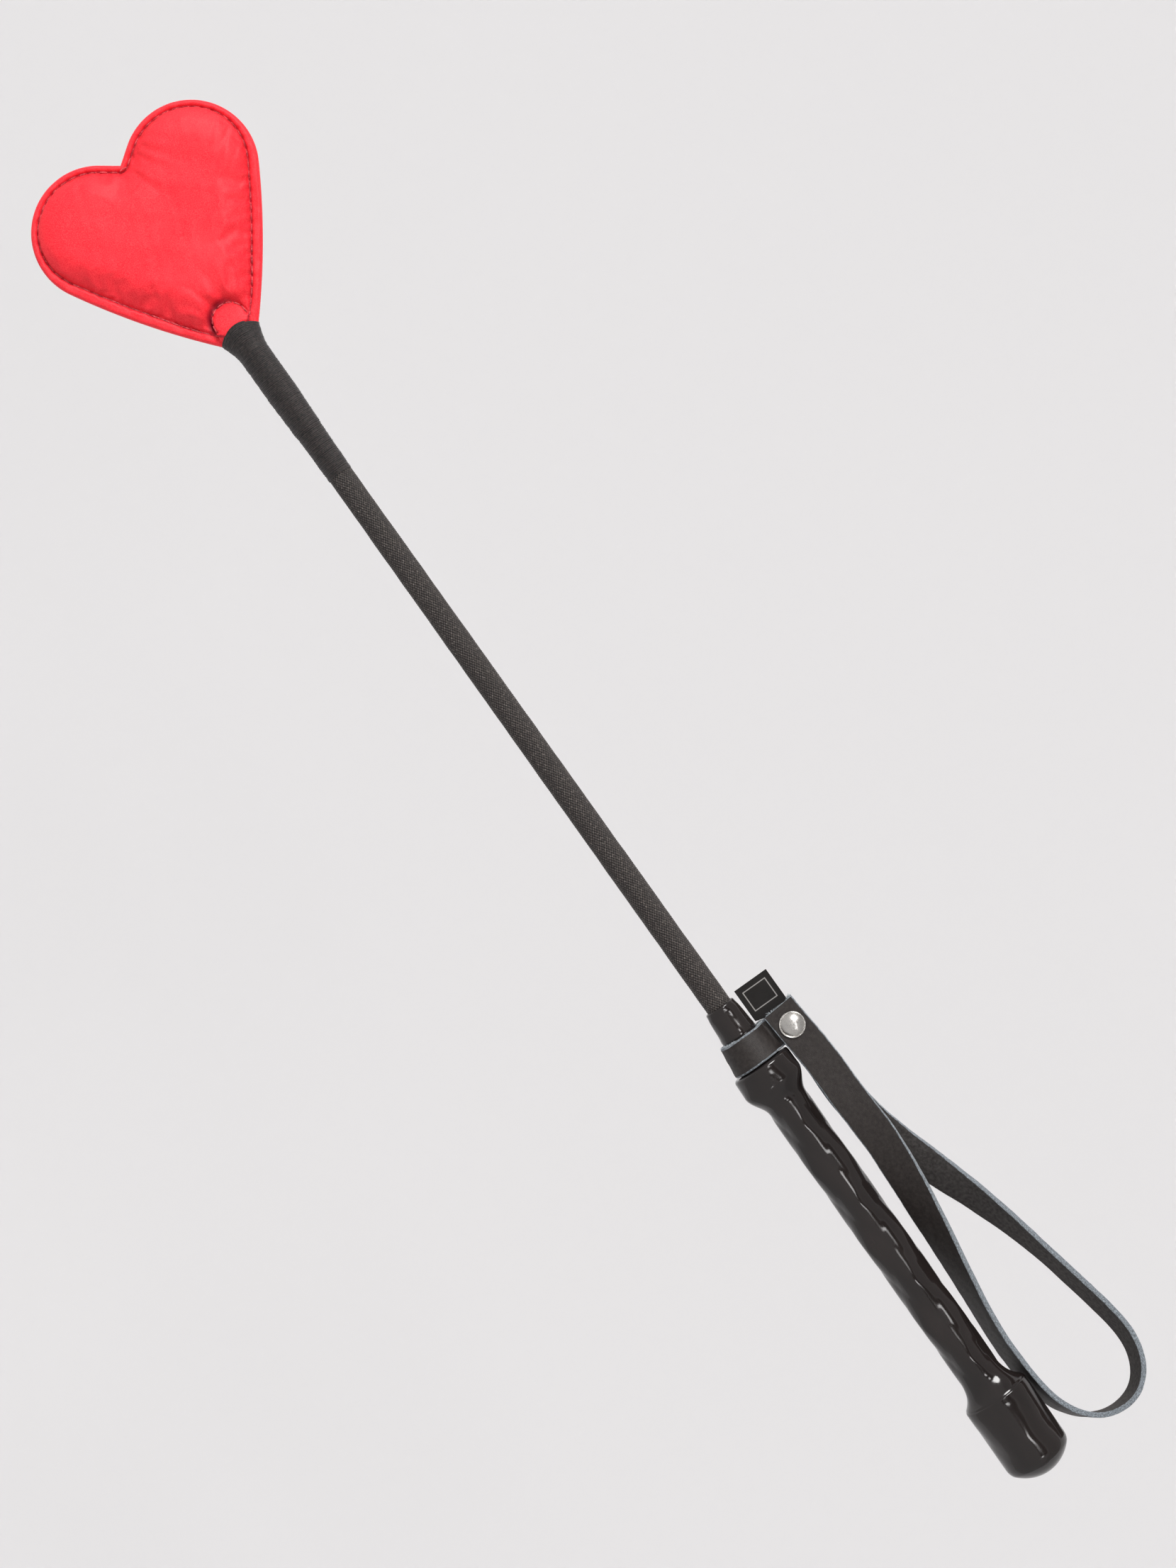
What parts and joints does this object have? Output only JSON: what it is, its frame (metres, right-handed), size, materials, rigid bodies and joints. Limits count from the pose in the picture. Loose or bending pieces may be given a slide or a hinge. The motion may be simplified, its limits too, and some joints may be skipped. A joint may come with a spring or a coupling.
{
  "type": "riding crop",
  "caption": "Riding crop with a moulded domed handle, braided springy shaft, thread-bound padded heart tip and a riveted leather wrist loop.",
  "frame": {"origin": "on the crop's axis at the middle of the rounded butt end", "axes": "+X along the shaft from the butt end to the heart, +Z out of the heart's front face, wrist loop on the -Y side"},
  "size_m": [0.4805, 0.0813, 0.0208],
  "materials": {
    "handle_gloss": "glossy black moulded PVC",
    "fibreglass": "pultruded glass fibre rod",
    "jacket": "extruded plastic jacket",
    "braid": "tight dark textile braid",
    "binding_thread": "wound waxed thread",
    "satin": "bright red satin",
    "board": "stiff fibre board",
    "foam": "soft foam",
    "seam_thread": "tight red sewing thread",
    "leather": "dark pebbled leather, raw cut edges",
    "woven_label": "black woven tag",
    "nickel": "polished nickel"
  },
  "bodies": {
    "crop": {"handle_grip": "handle_gloss", "core_rod": "fibreglass", "core_jacket": "jacket", "braided_cover": "braid", "tail_binding": "binding_thread", "main_binding": "binding_thread", "throat_binding": "binding_thread", "heart_neck": "satin"},
    "heart_tip": {"heart_board": "board", "heart_pad_front": "foam", "heart_pad_back": "foam", "heart_cover_front": "satin", "heart_cover_back": "satin", "edge_stitching": "seam_thread", "arch_stitching": "seam_thread"},
    "collar": {"strap_collar": "leather", "label": "woven_label", "rivet_post": "nickel", "rivet_head": "nickel", "rivet_back": "nickel", "loop_end_front": "leather", "loop_end_back": "leather"},
    "wrist_loop": {"wrist_loop": "leather"}
  },
  "joints": [
    {"name": "tip_flex", "type": "hinge", "parent": "crop", "child": "heart_tip", "pos_m": [0.416, 0, 0], "axis": [0, 1, 0], "range_deg": [-30, 30], "stiffness_Nm_per_rad": 0.3},
    {"name": "collar_swivel", "type": "hinge", "parent": "crop", "child": "collar", "pos_m": [0.1525, 0, 0], "axis": [1, 0, 0], "continuous": true},
    {"name": "loop_flex", "type": "hinge", "parent": "collar", "child": "wrist_loop", "pos_m": [0.14293, -0.01517, 0], "axis": [-0.0785, 0.9969, 0], "range_deg": [-45, 45], "stiffness_Nm_per_rad": 0.04}
  ]
}
